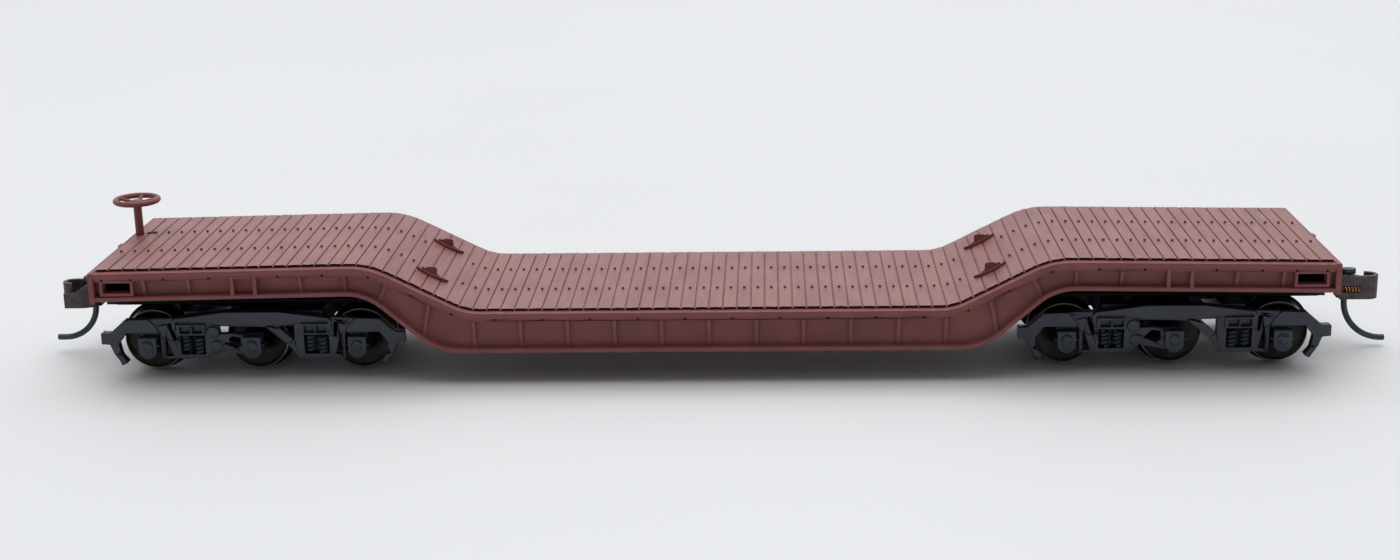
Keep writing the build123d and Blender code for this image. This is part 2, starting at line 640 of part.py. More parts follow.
# Couplers, drawn at the +X end; the other end has the same pieces turned half round
def coupler_box():
    """Open-fronted box under the pan, with the post that the shank swings on."""
    half = BOX_WIDTH / 2
    hollow = half - BOX_WALL
    back = PIVOT_X - BOX_BACK + BOX_WALL
    box = block(BOX_FRONT - BOX_LENGTH, BOX_FRONT, -half, half, LID_TOP, PAN_BOTTOM)
    box -= block(back, BOX_FRONT, -hollow, hollow, LID_TOP, SHANK_HIGH + SHANK_CLEARANCE)
    return box + post(PIVOT_X, 0, LID_TOP, PAN_BOTTOM, POST_RADIUS)


def coupler_lid():
    half = BOX_WIDTH / 2
    return block(BOX_FRONT - BOX_LENGTH, BOX_FRONT, -half, half, LID_TOP - LID_THICKNESS, LID_TOP)


def pin_plan(rows):
    return outline([(PIN_X + x, PIN_Y + y) for x, y in rows], HEAD_CORNER)


def coupler():
    """Shank with its eye, and the fixed head with its guard arm and two pin lugs."""
    shank = block(PIVOT_X, HEAD_X + SHANK_BITE, -SHANK_WIDTH / 2, SHANK_WIDTH / 2, SHANK_LOW, SHANK_HIGH)
    shank += post(PIVOT_X, 0, SHANK_LOW, SHANK_HIGH, EYE_RADIUS)
    shank -= post(PIVOT_X, 0, SHANK_LOW, SHANK_HIGH, POST_RADIUS + POST_CLEARANCE)
    low, high = HEAD_LOW + LUG_PLATE, HEAD_HIGH - LUG_PLATE
    swing = KNUCKLE_HUB + HUB_CLEAR
    head = upright(pin_plan(HEAD_PLAN), HEAD_LOW, HEAD_HIGH)
    head += post(PIN_X, PIN_Y, HEAD_LOW, HEAD_HIGH, PIN_CAP_RADIUS + HUB_CLEAR)
    head -= post(PIN_X, PIN_Y, low, high, swing)
    head -= block(PIN_X, PIN_X + swing, PIN_Y - THROAT, PIN_Y + swing, low, high)
    head -= post(PIN_X, PIN_Y, HEAD_LOW, HEAD_HIGH, PIN_RADIUS + PIN_CLEARANCE)
    slope = outline([(PIN_X + x, HEAD_HIGH - depth) for x, depth in GUARD_SLOPE])
    return shank + head - across(slope, PIN_Y + swing, HALF_WIDTH)


def spring_window():
    """Room for the knuckle spring in the knuckle's side."""
    x, y = PIN_X + KNUCKLE_SPRING_PLACE[0], PIN_Y + KNUCKLE_SPRING_PLACE[1]
    room = KNUCKLE_SPRING_RADIUS + SPRING_GAP
    end = x + KNUCKLE_SPRING_LENGTH + SPRING_GAP
    return block(x - SPRING_GAP, end, y - room, y + room, SPRING_HEIGHT - room, SPRING_HEIGHT + room)


def knuckle():
    """Hooked jaw on its hub between the pin lugs, bored tight for the pin, with a window for its spring."""
    low, high = HEAD_LOW + LUG_PLATE + KNUCKLE_GAP, HEAD_HIGH - LUG_PLATE - KNUCKLE_GAP
    clear = PIN_CAP_RADIUS + 2 * HUB_CLEAR
    centre = (HOOK_BEND[0], HOOK_BEND[1] + HOOK_RADIUS)
    bend = CenterArc(centre, HOOK_RADIUS, -90, HOOK_TURN)
    hook = trace([Line(HOOK_START, HOOK_BEND), bend], HOOK_WALL)
    jaw = upright(Pos(PIN_X, PIN_Y) * hook, HEAD_LOW, HEAD_HIGH)
    jaw += upright(Pos(PIN_X, PIN_Y) * outline(KNUCKLE_ROOT), HEAD_LOW, HEAD_HIGH)
    jaw -= post(PIN_X, PIN_Y, HEAD_LOW, low, clear)
    jaw -= post(PIN_X, PIN_Y, high, HEAD_HIGH, clear)
    jaw += post(PIN_X, PIN_Y, low, high, KNUCKLE_HUB)
    jaw -= spring_window()
    return jaw - post(PIN_X, PIN_Y, low, high, PIN_RADIUS)


def trip_pin(bend_radius, foot_height):
    """Hinge pin with its cap, then the stouter trip leg, curved outwards so that it ends near the rail."""
    bend_top = foot_height + bend_radius
    bend_x = PIN_X + bend_radius
    middle = (bend_x - bend_radius * cos(radians(45)), bend_top - bend_radius * sin(radians(45)))
    leg_top = HEAD_LOW - PIN_CLEARANCE
    leg = Curve() + [
        Line((PIN_X, leg_top), (PIN_X, bend_top)),
        ThreePointArc((PIN_X, bend_top), middle, (bend_x, foot_height)),
        Line((bend_x, foot_height), (PIN_X + TRIP_REACH, foot_height)),
    ]
    section = Plane((PIN_X, PIN_Y, leg_top), z_dir=(0, 0, -1)) * Circle(TRIP_RADIUS)
    pin = sweep(section, path=Plane.XZ.offset(-PIN_Y) * leg)
    cap_low, cap_width = HEAD_HIGH + PIN_CLEARANCE, 2 * PIN_CAP_RADIUS
    cap = Pos(PIN_X + PIN_CAP_LENGTH / 2, PIN_Y) * SlotOverall(PIN_CAP_LENGTH + cap_width, cap_width)
    pin += upright(cap, cap_low, cap_low + PIN_CAP_HEIGHT)
    return pin + post(PIN_X, PIN_Y, leg_top, cap_low, PIN_RADIUS)


def knuckle_spring():
    """Small bronze coil in the knuckle's window, drawn as its outer form."""
    coil = Rot(0, 90, 0) * Cylinder(KNUCKLE_SPRING_RADIUS, KNUCKLE_SPRING_LENGTH)
    x, y = PIN_X + KNUCKLE_SPRING_PLACE[0], PIN_Y + KNUCKLE_SPRING_PLACE[1]
    return Pos(x + KNUCKLE_SPRING_LENGTH / 2, y, SPRING_HEIGHT) * coil


def save(name, shape):
    export_step(Pos(0, 0, FLANGE_DEPTH) * shape, f"parts/{name}.step")


def main():
    os.makedirs("parts", exist_ok=True)
    sill, end, screw = side_sill(), end_sill(), truck_screw()
    save("deck", deck())
    save("side_sill_far", sill)
    save("side_sill_near", mirror(sill, about=Plane.XZ))
    save("tie_down_lugs", tie_down_lugs())
    save("underframe", underframe())
    save("brake_staff", brake_staff())
    save("brake_wheel", brake_wheel())
    frame, bolster, coils = side_frame(), truck_bolster(), springs()
    shaft, pair = axle(), wheels()
    box, lid = coupler_box(), coupler_lid()
    head, jaw, coil = coupler(), knuckle(), knuckle_spring()
    # Columns: end letter, truck centre, turn of the end pieces
    for letter, x, turn in (("a", -TRUCK_X, 180), ("b", TRUCK_X, 0)):
        around = Rot(0, 0, turn)
        save(f"end_sill_{letter}", around * end)
        save(f"truck_screw_{letter}", Pos(x, 0, 0) * screw)
        save(f"truck_{letter}_frame_far", Pos(x, 0, 0) * frame)
        save(f"truck_{letter}_frame_near", Pos(x, 0, 0) * mirror(frame, about=Plane.XZ))
        save(f"truck_{letter}_bolster", Pos(x, 0, 0) * bolster)
        save(f"truck_{letter}_springs", Pos(x, 0, 0) * coils)
        for k in (-1, 0, 1):
            place = Pos(x + k * AXLE_SPACING, 0, TREAD_RADIUS)
            save(f"axle_{letter}{k + 2}", place * shaft)
            save(f"wheels_{letter}{k + 2}", place * pair)
        save(f"coupler_box_{letter}", around * box)
        save(f"coupler_lid_{letter}", around * lid)
        save(f"coupler_{letter}", around * head)
        save(f"knuckle_{letter}", around * jaw)
        save(f"trip_pin_{letter}", around * trip_pin(*TRIP_BENDS[letter]))
        save(f"knuckle_spring_{letter}", around * coil)


main()
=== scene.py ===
import json
import math
import random
import bpy
from mathutils import Matrix, Vector


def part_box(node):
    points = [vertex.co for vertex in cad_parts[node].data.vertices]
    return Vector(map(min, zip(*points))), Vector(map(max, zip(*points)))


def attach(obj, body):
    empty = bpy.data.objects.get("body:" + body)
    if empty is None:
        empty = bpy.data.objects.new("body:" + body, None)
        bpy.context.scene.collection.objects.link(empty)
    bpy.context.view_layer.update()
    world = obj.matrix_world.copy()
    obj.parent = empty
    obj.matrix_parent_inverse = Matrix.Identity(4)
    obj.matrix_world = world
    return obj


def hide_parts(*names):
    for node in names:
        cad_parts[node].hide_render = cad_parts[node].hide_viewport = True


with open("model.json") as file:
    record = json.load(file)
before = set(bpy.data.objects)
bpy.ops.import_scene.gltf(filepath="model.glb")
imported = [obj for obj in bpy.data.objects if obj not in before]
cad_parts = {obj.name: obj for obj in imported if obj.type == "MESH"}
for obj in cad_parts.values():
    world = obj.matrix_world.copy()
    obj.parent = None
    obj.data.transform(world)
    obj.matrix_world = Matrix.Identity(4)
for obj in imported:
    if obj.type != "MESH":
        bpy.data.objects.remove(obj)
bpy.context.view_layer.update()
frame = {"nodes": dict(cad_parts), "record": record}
NODES = frame["nodes"]
RECORD = frame["record"]
MM = 0.001

# Camera, found from the photo: place in millimetres, angles in degrees, focal length in photo pixels
PHOTO_WIDTH = 1400
FOCAL_PIXELS = 2035.6
SENSOR_MM = 36.0
CAMERA_MM = (9.66, -313.84, 100.76)
CAMERA_PITCH = 15.857
CAMERA_YAW = -2.101
CAMERA_ROLL = -1.030
CLIP_START = 0.01

# Stage, in metres and watts
FLOOR_SIZE = 6.0
LIGHT_PLACE = (0.0, 0.15, 1.20)
LIGHT_SIZE = 1.4
LIGHT_WATTS = 10.5
# Strength of the surroundings at the front and at the back, and the share of it that is left at the ends
WORLD_STRENGTH = (0.25, 1.25)
WORLD_REACH = 0.7
WORLD_ENDS = 0.4

# Sizes of the small details, in millimetres
MERGE_MM = 0.002
ROUND_ANGLE = 32.0
SMOOTH_ANGLE = 38.0
BOARD_EDGE_MM = 0.05
BOARD_END_WEAR_MM = 0.12
BOARD_END_POINTS = 4
BOARD_LEAST_MM = 1.2
# A face counts as a board's top where its normal points up by more than this
TOP_NORMAL = 0.6
SAME_PLACE_MM = 0.01
# How far the top of a board's end reaches over the lip, and how far its foot draws back
BOARD_OVERHANG_MM = 1.5
BOARD_UNDERCUT_MM = 1.2
BOLT_ROW_MM = 5.8
BOLT_RADIUS_MM = 0.21
BOLT_HEIGHT_MM = 0.33
# Small pits under the lip of each girder: distances from the middle of the wagon
PIT_X_MM = (3.6, 10.85, 18.15, 25.4, 32.7, 39.0, 45.0, 51.6, 58.9, 65.7, 76.4, 83.3, 88.4, 92.9)
PIT_RADIUS_MM = 0.2
PIT_DEPTH_MM = 0.4
PIT_BELOW_TOP_MM = 1.075
PIT_FACE_MM = 17.3
PIT_FEELER_MM = 50.0
PIT_FEELER_IN_MM = 0.1
PIT_CRISP = 1.5
PEG_SIDES = 16
# Wheels: radii between which the tread lies, and how far out on the axle the painted highlight ring begins
TREAD_MM = (4.6, 4.95)
PAINTED_HIGHLIGHT_FROM_MM = 9.85
# Tie-down eyes: middle of the lug on the boards, the eye's outline as distance uphill and height from there,
# its two faces across the wagon, and how close to the lug a board goes without bolts
LUG_MM = (43.55, 8.6, 15.07)
EYE_MM = (
    (-1.5, -0.95), (-1.5, -0.1), (-0.95, 0.32), (-0.95, 1.15), (-0.85, 1.38), (-0.6, 1.52), (0.0, 1.58),
    (0.55, 1.52), (0.85, 1.4), (1.4, 1.65), (1.4, 0.5),
)
EYE_BACK_MM = (-0.5, -0.15)
LUG_BOARDS_MM = 3.0
# Springs: radius of the wire, turns, and where the coils stand along a truck
SPRING_WIRE_MM = 0.3
SPRING_TURNS = 4
JAW_WIRE_MM = 0.11
JAW_TURNS = 5
COIL_STEPS = 14
WIRE_SIDES = 8
TRUCK_MM = 71.3
COIL_X_MM = (-10.525, -8.575, 8.975, 10.925)

# Where the dark shade of a mottled colour ends and the light one begins
PATCH_EDGES = (0.35, 0.65)

DRAW = random.Random(7)


# Colours and shader nodes
def linear(code):
    """sRGB hex to an opaque linear colour."""
    parts = [int(code[k:k + 2], 16) / 255 for k in (1, 3, 5)]
    return [p / 12.92 if p <= 0.04045 else ((p + 0.055) / 1.055) ** 2.4 for p in parts] + [1.0]


def add(tree, kind, inputs=None, **settings):
    """Adds a node, sets its attributes, and sets or links its inputs by name or number."""
    node = tree.nodes.new(kind)
    for name, value in settings.items():
        setattr(node, name, value)
    for name, value in (inputs or {}).items():
        if isinstance(value, bpy.types.NodeSocket):
            tree.links.new(value, node.inputs[name])
        else:
            node.inputs[name].default_value = value
    return node


def blank(name):
    """A new material with a wired shader: returns material, tree, shader and Object coordinates."""
    material = bpy.data.materials.new(name)
    material.use_nodes = True
    tree = material.node_tree
    tree.nodes.clear()
    shader = add(tree, "ShaderNodeBsdfPrincipled")
    add(tree, "ShaderNodeOutputMaterial", {"Surface": shader.outputs["BSDF"]})
    place = add(tree, "ShaderNodeTexCoord").outputs["Object"]
    return material, tree, shader, place


def per_mm(size):
    """Texture scale, in Object coordinates of metres, for a pattern of this size in millimetres."""
    return 1000.0 / size


def mottled(tree, place, size, dark, light, stretch=(1, 1, 1)):
    """Colour that drifts between two shades in patches of this size in millimetres, and the drift itself."""
    spread = add(tree, "ShaderNodeMapping", {"Vector": place, "Scale": stretch})
    noise = add(tree, "ShaderNodeTexNoise", {
        "Vector": spread.outputs[0], "Scale": per_mm(size), "Detail": 4.0,
    })
    ramp = add(tree, "ShaderNodeValToRGB", {"Fac": noise.outputs["Fac"]})
    for stop, at, shade in zip(ramp.color_ramp.elements, PATCH_EDGES, (dark, light)):
        stop.position = at
        stop.color = linear(shade)
    return ramp.outputs["Color"], noise.outputs["Fac"]


def bumped(tree, height, depth_mm, strength):
    """Surface direction for a relief of this depth."""
    bump = add(tree, "ShaderNodeBump", {"Height": height, "Distance": depth_mm * MM, "Strength": strength})
    return bump.outputs[0]


def satin(shader, roughness, gloss):
    """Surface finish: how rough it is, and how much it mirrors."""
    shader.inputs["Roughness"].default_value = roughness
    shader.inputs["Specular IOR Level"].default_value = gloss


# Moulded styrene in oxide brown: dull satin, a little dusty, paler where light skims it
def styrene_brown():
    material, tree, shader, place = blank("moulded_styrene_brown")
    colour = mottled(tree, place, 6.0, "#7e4949", "#8a5150")[0]
    grit = add(tree, "ShaderNodeTexNoise", {"Vector": place, "Scale": per_mm(0.3), "Detail": 2.0})
    tree.links.new(colour, shader.inputs["Base Color"])
    tree.links.new(bumped(tree, grit.outputs["Fac"], 0.02, 0.5), shader.inputs["Normal"])
    satin(shader, 0.5, 0.3)
    return material


# The styrene moulded with plank grain that runs across the wagon, its colour a shade paler than the brown:
# painted light on the deck top
def styrene_planks():
    material, tree, shader, place = blank("moulded_styrene_planks_painted_light")
    colour = mottled(tree, place, 2.2, "#814d4c", "#915c59", (1, 0.25, 1))[0]
    grain = add(tree, "ShaderNodeMapping", {"Vector": place, "Scale": (1, 0.06, 1)})
    lines = add(tree, "ShaderNodeTexNoise", {
        "Vector": grain.outputs[0], "Scale": per_mm(0.28), "Detail": 3.0,
    })
    tree.links.new(colour, shader.inputs["Base Color"])
    tree.links.new(bumped(tree, lines.outputs["Fac"], 0.08, 0.8), shader.inputs["Normal"])
    satin(shader, 0.5, 0.6)
    return material


# Black styrene and blue-black acetal: satin mouldings with a faint orange-peel skin
def black_moulding(name, dark, light, roughness, gloss):
    material, tree, shader, place = blank(name)
    colour = mottled(tree, place, 5.0, dark, light)[0]
    peel = add(tree, "ShaderNodeTexNoise", {"Vector": place, "Scale": per_mm(0.5), "Detail": 2.0})
    tree.links.new(colour, shader.inputs["Base Color"])
    tree.links.new(bumped(tree, peel.outputs["Fac"], 0.02, 0.5), shader.inputs["Normal"])
    satin(shader, roughness, gloss)
    return material


# Metals: turned steel, blackened wheels, browned coupler casting, bronze and blackened wire
def metal(name, dark, light, roughness, patch_mm=3.0, metallic=1.0):
    material, tree, shader, place = blank(name)
    colour, patch = mottled(tree, place, patch_mm, dark, light)
    tree.links.new(colour, shader.inputs["Base Color"])
    tree.links.new(bumped(tree, patch, 0.01, 0.4), shader.inputs["Normal"])
    shader.inputs["Metallic"].default_value = metallic
    shader.inputs["Roughness"].default_value = roughness
    return material


BROWN = styrene_brown()
PLANKS_PAINTED_LIGHT = styrene_planks()
BLACK = black_moulding("moulded_styrene_black", "#101113", "#17181b", 0.4, 0.3)
TRUCK = black_moulding("moulded_acetal_blue_black", "#242a36", "#2e3543", 0.32, 0.5)
STEEL = metal("turned_steel", "#8f8b84", "#a8a49c", 0.35)
WHEEL = metal("blackened_wheel_steel", "#1f1e1e", "#2f2c2a", 0.3)
TREAD = metal("worn_tread_steel", "#6d675f", "#857e73", 0.35)
# Painted highlight: a paler copy of the tread steel, put on the ring round each wheel's outer face
PAINTED_HIGHLIGHT_RIM = metal("painted_highlight_rim_steel", "#d2c8b6", "#e6ddcc", 0.28)
CASTING = metal("browned_coupler_casting", "#4a4342", "#5d5452", 0.5, 1.0, 0.7)
BRONZE = metal("phosphor_bronze_wire", "#b88445", "#dba867", 0.3)
WIRE = metal("blackened_steel_wire", "#3a4149", "#4a525c", 0.45, 3.0, 0.6)

SLOT_MATERIAL = {
    "brown_plastic": BROWN,
    "black_plastic": BLACK,
    "truck_plastic": TRUCK,
    "steel": STEEL,
    "wheel_metal": WHEEL,
    "coupler_metal": CASTING,
    "bronze": BRONZE,
    "black_wire": WIRE,
}
SLOT = {row["node"]: row["material_slot"] for row in RECORD["subparts"]}
BODY = {node: body for body, nodes in RECORD["behaviour"]["bodies"].items() for node in nodes}


# Work at the bench: steps that several pieces share
def pick(piece):
    """Object mode with this piece alone selected and active."""
    bpy.ops.object.select_all(action="DESELECT")
    piece.select_set(True)
    bpy.context.view_layer.objects.active = piece


def apply_modifier(piece, kind, **settings):
    """Adds a modifier with these settings and makes its result the mesh."""
    pick(piece)
    modifier = piece.modifiers.new(kind.lower(), kind)
    for name, value in settings.items():
        setattr(modifier, name, value)
    bpy.ops.object.modifier_apply(modifier=modifier.name)


def merged_copy(node, name):
    """A new object with the node's own form, its doubled points merged."""
    piece = bpy.data.objects.new(name, NODES[node].data.copy())
    bpy.context.scene.collection.objects.link(piece)
    piece.data.materials.clear()
    pick(piece)
    bpy.ops.object.mode_set(mode="EDIT")
    bpy.ops.mesh.select_all(action="SELECT")
    bpy.ops.mesh.remove_doubles(threshold=MERGE_MM * MM)
    bpy.ops.object.mode_set(mode="OBJECT")
    return piece


def facing_out(piece):
    """All faces of a closed piece turned outward."""
    pick(piece)
    bpy.ops.object.mode_set(mode="EDIT")
    bpy.ops.mesh.select_all(action="SELECT")
    bpy.ops.mesh.normals_make_consistent(inside=False)
    bpy.ops.object.mode_set(mode="OBJECT")


def round_edges(piece, width_mm, segments=2, limit="ANGLE"):
    """Small radius on every sharp edge, as a mould leaves it."""
    apply_modifier(
        piece, "BEVEL", width=width_mm * MM, segments=segments, limit_method=limit,
        angle_limit=math.radians(ROUND_ANGLE), use_clamp_overlap=False,
    )


def keep_crisp(piece, places, reach_mm):
    """Weights for rounding: sharp edges count, apart from those within reach of a place."""
    mesh = piece.data
    sides = {}
    for face in mesh.polygons:
        for key in face.edge_keys:
            sides.setdefault(key, []).append(face.normal)
    weights = mesh.attributes.new("bevel_weight_edge", "FLOAT", "EDGE")
    bend = math.cos(math.radians(ROUND_ANGLE))
    for edge in mesh.edges:
        normals = sides.get(edge.key, [])
        sharp = len(normals) == 2 and normals[0].dot(normals[1]) < bend
        middle = (mesh.vertices[edge.vertices[0]].co + mesh.vertices[edge.vertices[1]].co) / 2
        close = any((middle - place).length < reach_mm * MM for place in places)
        weights.data[edge.index].value = float(sharp and not close)


def cut(piece, cutter):
    """Takes the cutter's form out of the piece, and the cutter away."""
    apply_modifier(piece, "BOOLEAN", operation="DIFFERENCE", solver="EXACT", object=cutter)
    bpy.data.objects.remove(cutter)


def joined(pieces, name):
    """Several pieces as one object."""
    pick(pieces[0])
    for piece in pieces:
        piece.select_set(True)
    bpy.ops.object.join()
    pieces[0].name = name
    return pieces[0]


def kept_inside(piece, node):
    """Pulls back the few points that rounding has pushed out of the node's own box."""
    low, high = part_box(node)
    for point in piece.data.vertices:
        point.co = [min(max(value, a), b) for value, a, b in zip(point.co, low, high)]


def fixed_down(piece, nodes):
    """Place into the mesh, smooth faces between sharp edges, finish, and the nodes that it stands for."""
    pick(piece)
    bpy.ops.object.transform_apply(location=True, rotation=True, scale=True)
    bpy.ops.object.shade_smooth_by_angle(angle=math.radians(SMOOTH_ANGLE))
    apply_modifier(piece, "WEIGHTED_NORMAL", keep_sharp=True)
    if not piece.data.materials:
        piece.data.materials.append(SLOT_MATERIAL[SLOT[nodes[0]]])
    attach(piece, BODY[nodes[0]])
    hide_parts(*nodes)


def placed_copy(master, turn, name):
    """A copy of the master with its mesh moved and turned."""
    copy = bpy.data.objects.new(name, master.data.copy())
    copy.data.transform(turn)
    bpy.context.scene.collection.objects.link(copy)
    return copy


def pegs(places, radius_mm, depth_mm, name, chamfer_mm=0.0):
    """Small round pegs, half sunk: one is copied to each place, given as point and direction."""
    bpy.ops.object.select_all(action="DESELECT")
    bpy.ops.mesh.primitive_cylinder_add(
        vertices=PEG_SIDES, radius=radius_mm * MM, depth=2 * depth_mm * MM,
    )
    master = bpy.context.object
    if chamfer_mm:
        round_edges(master, chamfer_mm)
    copies = []
    for point, direction in places:
        turn = Matrix.Translation(point) @ direction.to_track_quat("Z", "Y").to_matrix().to_4x4()
        copies.append(placed_copy(master, turn, name))
    bpy.data.objects.remove(master)
    return joined(copies, name)


# Deck
def board_ends(piece, side):
    """The top edge of each board's end on one side: its middle, and its direction along the wagon."""
    points = piece.data.vertices
    reach = max(abs(point.co.y) for point in points)
    rows = []
    for face in piece.data.polygons:
        if face.normal.z < TOP_NORMAL:
            continue
        for a, b in face.edge_keys:
            start, end = points[a].co, points[b].co
            at_end = min(side * start.y, side * end.y) > reach - SAME_PLACE_MM * MM
            if at_end and (end - start).length > BOARD_LEAST_MM * MM:
                rows.append(((start + end) / 2, (end - start).normalized()))
    return sorted(rows, key=lambda row: row[0].x)


def deck_boards():
    """Deck with worn board ends and a pair of bolt heads on each board."""
    piece = merged_copy("deck", "deck_boards")
    rows = board_ends(piece, -1)
    reach = abs(rows[0][0].y)
    bolts = []
    for middle, along in rows:
        if abs(abs(middle.x) - LUG_MM[0] * MM) < LUG_BOARDS_MM * MM:
            continue
        up = Vector((0, 1, 0)).cross(along) if along.x < 0 else along.cross(Vector((0, 1, 0)))
        for y in (-BOLT_ROW_MM, BOLT_ROW_MM):
            bolts.append((Vector((middle.x, y * MM, middle.z)), up))
    # Worn ends: more points along each end, each pushed a little in or out
    bpy.ops.object.mode_set(mode="EDIT")
    bpy.ops.mesh.select_mode(type="EDGE")
    bpy.ops.mesh.select_all(action="DESELECT")
    bpy.ops.object.mode_set(mode="OBJECT")
    points = piece.data.vertices
    for edge in piece.data.edges:
        start, end = (points[v].co for v in edge.vertices)
        at_end = min(abs(start.y), abs(end.y)) > reach - SAME_PLACE_MM * MM
        edge.select = at_end and abs(start.x - end.x) > MM
    bpy.ops.object.mode_set(mode="EDIT")
    bpy.ops.mesh.subdivide(number_cuts=BOARD_END_POINTS)
    bpy.ops.object.mode_set(mode="OBJECT")
    tops = {v for face in piece.data.polygons if face.normal.z > TOP_NORMAL for v in face.vertices}
    for point in piece.data.vertices:
        if abs(point.co.y) > reach - SAME_PLACE_MM * MM:
            push = (BOARD_OVERHANG_MM + DRAW.uniform(-BOARD_END_WEAR_MM, BOARD_END_WEAR_MM)) * MM
            if point.index not in tops:
                push = -BOARD_UNDERCUT_MM * MM
            point.co.y += push if point.co.y > 0 else -push
    round_edges(piece, BOARD_EDGE_MM, 1)
    piece.data.materials.append(PLANKS_PAINTED_LIGHT)
    heads = pegs(bolts, BOLT_RADIUS_MM, BOLT_HEIGHT_MM, "bolt_heads", BOARD_EDGE_MM)
    # The bolt heads keep the plain brown, so they read a shade darker than the boards with their painted
    # light
    heads.data.materials.append(BROWN)
    fixed_down(joined([piece, heads], "deck_boards"), ["deck"])


# Truck and knuckle springs: round wire wound with the Screw modifier, ends closed
def coil(name, radius_mm, height_mm, wire_mm, turns):
    """A spring along Z with its foot at the origin, inside this radius and height."""
    bpy.ops.object.select_all(action="DESELECT")
    middle = (radius_mm - wire_mm) * MM
    bpy.ops.mesh.primitive_circle_add(
        vertices=WIRE_SIDES, radius=wire_mm * MM, fill_type="NGON", location=(middle, 0, wire_mm * MM),
        rotation=(math.radians(90), 0, 0),
    )
    piece = bpy.context.object
    piece.name = name
    bpy.ops.object.transform_apply(location=True, rotation=True, scale=True)
    pitch = (height_mm - 2 * wire_mm) / turns * MM
    apply_modifier(
        piece, "SCREW", axis="Z", screw_offset=pitch, iterations=turns, steps=COIL_STEPS,
        render_steps=COIL_STEPS, use_normal_calculate=True,
    )
    facing_out(piece)
    return piece


def truck_springs(letter, centre_mm):
    """Two pairs of coils in each side frame of a truck."""
    node = f"truck_{letter}_springs"
    low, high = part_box(node)
    radius = (high.x - (centre_mm + COIL_X_MM[-1]) * MM) / MM
    height = (high.z - low.z) / MM
    master = coil("spring_master", radius, height, SPRING_WIRE_MM, SPRING_TURNS)
    copies = []
    for y in (low.y + radius * MM, high.y - radius * MM):
        for x in COIL_X_MM:
            place = Matrix.Translation(((centre_mm + x) * MM, y, low.z))
            spin = Matrix.Rotation(DRAW.uniform(0, 2 * math.pi), 4, "Z")
            copies.append(placed_copy(master, place @ spin, node))
    bpy.data.objects.remove(master)
    fixed_down(joined(copies, f"truck_{letter}_coils"), [node])


def jaw_spring(letter):
    """The small coil that holds a knuckle shut."""
    node = f"knuckle_spring_{letter}"
    low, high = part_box(node)
    middle = (low + high) / 2
    piece = coil(
        f"knuckle_coil_{letter}", (high.z - low.z) / 2 / MM, (high.x - low.x) / MM, JAW_WIRE_MM, JAW_TURNS,
    )
    lay = Matrix.Translation((low.x, middle.y, middle.z)) @ Matrix.Rotation(math.radians(90), 4, "Y")
    piece.data.transform(lay)
    fixed_down(piece, [node])


# Mouldings and castings whose CAD form is right: the same form with its edges rounded, in millimetres
EDGE_MM = {"underframe": 0.0, "brake_staff": 0.08, "brake_wheel": 0.0}
END_EDGE_MM = {
    "end_sill": 0.1, "coupler_box": 0.08, "coupler_lid": 0.06, "truck_screw": 0.1, "coupler": 0.06,
    "knuckle": 0.06, "trip_pin": 0.08,
}
TRUCK_EDGE_MM = {"frame_near": 0.1, "frame_far": 0.1, "bolster": 0.12}
SILL_EDGE_MM = 0.08
LUG_EDGE_MM = 0.08
AXLE_EDGE_MM = 0.08
WHEEL_EDGE_MM = 0.14


def rounded_copy(node, width_mm):
    """The node's own form with its edges rounded, or as it is where the width is 0."""
    piece = merged_copy(node, f"{node}_moulding")
    if width_mm:
        round_edges(piece, width_mm)
        kept_inside(piece, node)
    return piece


def girder(node, side):
    """A side sill with its row of small pits under the lip."""
    outward = Vector((0, side, 0))
    places = []
    for distance in PIT_X_MM:
        for x in (-distance, distance):
            above = Vector((x, side * (PIT_FACE_MM - PIT_FEELER_IN_MM), PIT_FEELER_MM)) * MM
            hit, point, normal, face = NODES[node].ray_cast(above, Vector((0, 0, -1)))
            if hit:
                down = point - normal * PIT_BELOW_TOP_MM * MM
                places.append((Vector((down.x, side * PIT_FACE_MM * MM, down.z)), outward))
    piece = merged_copy(node, f"{node}_moulding")
    cut(piece, pegs(places, PIT_RADIUS_MM, PIT_DEPTH_MM, "lip_pits"))
    keep_crisp(piece, [place for place, direction in places], PIT_CRISP * PIT_DEPTH_MM)
    round_edges(piece, SILL_EDGE_MM, limit="WEIGHT")
    kept_inside(piece, node)
    fixed_down(piece, [node])


def eye(side, row):
    """The upright plate behind one tie-down lug."""
    x, y, z = LUG_MM
    count = len(EYE_MM)
    points = [
        ((side * (x + uphill)) * MM, (row * y + back) * MM, (z + height) * MM)
        for back in EYE_BACK_MM for uphill, height in EYE_MM
    ]
    faces = [range(count), range(count, 2 * count)]
    faces += [(k, (k + 1) % count, (k + 1) % count + count, k + count) for k in range(count)]
    mesh = bpy.data.meshes.new("tie_down_eye")
    mesh.from_pydata(points, [], faces)
    piece = bpy.data.objects.new("tie_down_eye", mesh)
    bpy.context.scene.collection.objects.link(piece)
    facing_out(piece)
    round_edges(piece, LUG_EDGE_MM)
    return piece


def tie_downs():
    """Crescent lugs on the slopes, each with its eye."""
    pieces = [rounded_copy("tie_down_lugs", LUG_EDGE_MM)]
    pieces += [eye(side, row) for side in (-1, 1) for row in (-1, 1)]
    fixed_down(joined(pieces, "tie_downs"), ["tie_down_lugs"])


def wheel_pair(node):
    """Two wheels: dark faces, worn treads, and a ring of paler tread steel round each outer face, a painted
    highlight.
    """
    piece = rounded_copy(node, WHEEL_EDGE_MM)
    low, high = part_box(node)
    middle = (low + high) / 2
    for material in (WHEEL, TREAD, PAINTED_HIGHLIGHT_RIM):
        piece.data.materials.append(material)
    for face in piece.data.polygons:
        out = math.hypot(face.center.x - middle.x, face.center.z - middle.z) / MM
        side = abs(face.center.y - middle.y) / MM
        worn = TREAD_MM[0] < out < TREAD_MM[1]
        # The outer part of the tread takes the third material, the painted highlight ring
        face.material_index = int(worn) + int(worn and side > PAINTED_HIGHLIGHT_FROM_MM)
    fixed_down(piece, [node])


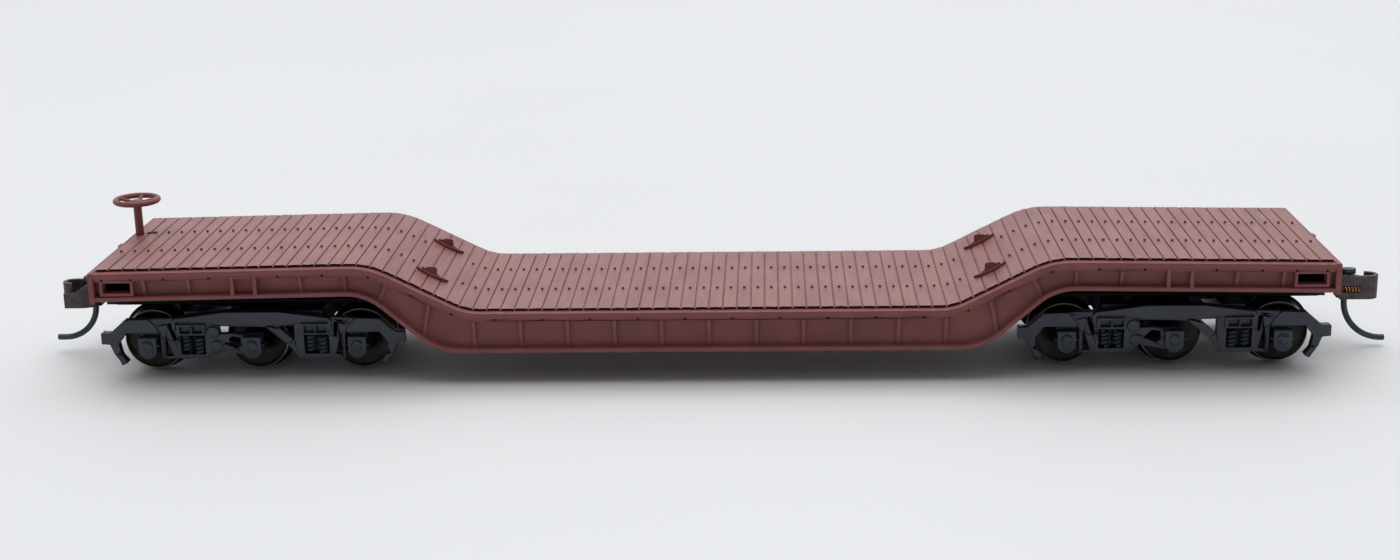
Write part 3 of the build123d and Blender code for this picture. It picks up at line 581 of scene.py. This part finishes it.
def mouldings():
    """All pieces that keep their CAD form."""
    for node, width in EDGE_MM.items():
        fixed_down(rounded_copy(node, width), [node])
    for letter in "ab":
        for piece, width in END_EDGE_MM.items():
            node = f"{piece}_{letter}"
            fixed_down(rounded_copy(node, width), [node])
        for piece, width in TRUCK_EDGE_MM.items():
            node = f"truck_{letter}_{piece}"
            fixed_down(rounded_copy(node, width), [node])
        for number in "123":
            node = f"axle_{letter}{number}"
            fixed_down(rounded_copy(node, AXLE_EDGE_MM), [node])
            wheel_pair(f"wheels_{letter}{number}")


def set_stage():
    """Pale floor, one soft light above, and pale surroundings."""
    bpy.ops.object.select_all(action="DESELECT")
    bpy.ops.mesh.primitive_plane_add(size=FLOOR_SIZE, location=(0, 0, 0))
    floor = bpy.context.object
    floor.name = "floor"
    material, tree, shader, place = blank("pale_floor")
    colour = mottled(tree, place, 400.0, "#dedfe0", "#e3e4e5")[0]
    tree.links.new(colour, shader.inputs["Base Color"])
    shader.inputs["Roughness"].default_value = 0.7
    floor.data.materials.append(material)
    lamp = bpy.data.lights.new("top_light", "AREA")
    lamp.energy = LIGHT_WATTS
    lamp.size = LIGHT_SIZE
    light = bpy.data.objects.new("top_light", lamp)
    light.location = LIGHT_PLACE
    light.rotation_euler = (-Vector(LIGHT_PLACE)).to_track_quat("-Z", "Y").to_euler()
    bpy.context.scene.collection.objects.link(light)
    # Even pale surroundings, dimmer at the front and at both ends of the wagon
    world = bpy.data.worlds.new("studio")
    world.use_nodes = True
    tree = world.node_tree
    backdrop = tree.nodes["Background"]
    backdrop.inputs["Color"].default_value = linear("#f2f4f7")
    around = add(tree, "ShaderNodeTexCoord").outputs["Generated"]
    toward = add(tree, "ShaderNodeSeparateXYZ", {"Vector": around})
    fade = add(tree, "ShaderNodeMapRange", {
        "Value": toward.outputs["Y"], "From Min": -WORLD_REACH, "From Max": WORLD_REACH,
        "To Min": WORLD_STRENGTH[0], "To Max": WORLD_STRENGTH[1],
    })
    sideways = toward.outputs["X"]
    aside = add(tree, "ShaderNodeMath", {0: sideways, 1: sideways}, operation="MULTIPLY")
    dim = add(tree, "ShaderNodeMapRange", {"Value": aside.outputs[0], "To Min": 1.0, "To Max": WORLD_ENDS})
    glow = add(tree, "ShaderNodeMath", {0: fade.outputs[0], 1: dim.outputs[0]}, operation="MULTIPLY")
    tree.links.new(glow.outputs[0], backdrop.inputs["Strength"])
    bpy.context.scene.world = world
    bpy.context.scene.view_settings.view_transform = "Standard"


def set_camera():
    """The camera that took the photo."""
    pitch, yaw, roll = (math.radians(a) for a in (CAMERA_PITCH, CAMERA_YAW, CAMERA_ROLL))
    ahead = Vector((math.sin(yaw) * math.cos(pitch), math.cos(yaw) * math.cos(pitch), -math.sin(pitch)))
    right = Vector((math.cos(yaw), -math.sin(yaw), 0))
    up = right.cross(ahead)
    across = right * math.cos(roll) + up * math.sin(roll)
    upward = up * math.cos(roll) - right * math.sin(roll)
    lens = bpy.data.cameras.new("photo_camera")
    lens.sensor_width = SENSOR_MM
    lens.lens = FOCAL_PIXELS / PHOTO_WIDTH * SENSOR_MM
    lens.clip_start = CLIP_START
    camera = bpy.data.objects.new("photo_camera", lens)
    turn = Matrix((across, upward, -ahead)).transposed().to_4x4()
    camera.matrix_world = Matrix.Translation(Vector(CAMERA_MM) * MM) @ turn
    bpy.context.scene.collection.objects.link(camera)
    bpy.context.scene.camera = camera


deck_boards()
girder("side_sill_near", -1)
girder("side_sill_far", 1)
tie_downs()
mouldings()
for end_letter, end_sign in (("a", -1), ("b", 1)):
    truck_springs(end_letter, end_sign * TRUCK_MM)
    jaw_spring(end_letter)
set_stage()
set_camera()
